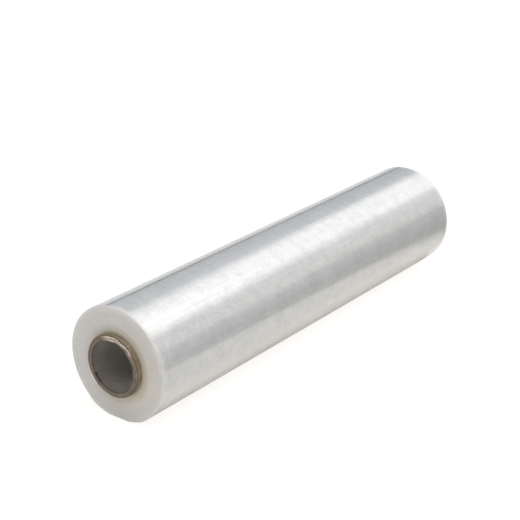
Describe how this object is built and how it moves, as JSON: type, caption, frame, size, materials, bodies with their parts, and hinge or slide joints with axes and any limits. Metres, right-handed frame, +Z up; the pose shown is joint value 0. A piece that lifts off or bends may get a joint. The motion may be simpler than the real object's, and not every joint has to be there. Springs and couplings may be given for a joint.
{
  "type": "shrink wrap roll",
  "caption": "Roll of clear shrink wrap film wound on a brown paperboard tube that stands out at both ends; it lies on its side on a small flat.",
  "frame": {"origin": "on the resting flat, under the middle of the roll", "axes": "+X along the roll's axis, +Y to the back, where the film's free end lies just past the top, +Z up"},
  "size_m": [0.512, 0.1147, 0.1131],
  "materials": {
    "film": "clear film in many turns, glossy on the side and milky on the wound ends",
    "core": "matt brown paperboard wound from plies"
  },
  "bodies": {
    "root": {"film_roll": "film", "core_tube": "core"}
  },
  "joints": []
}
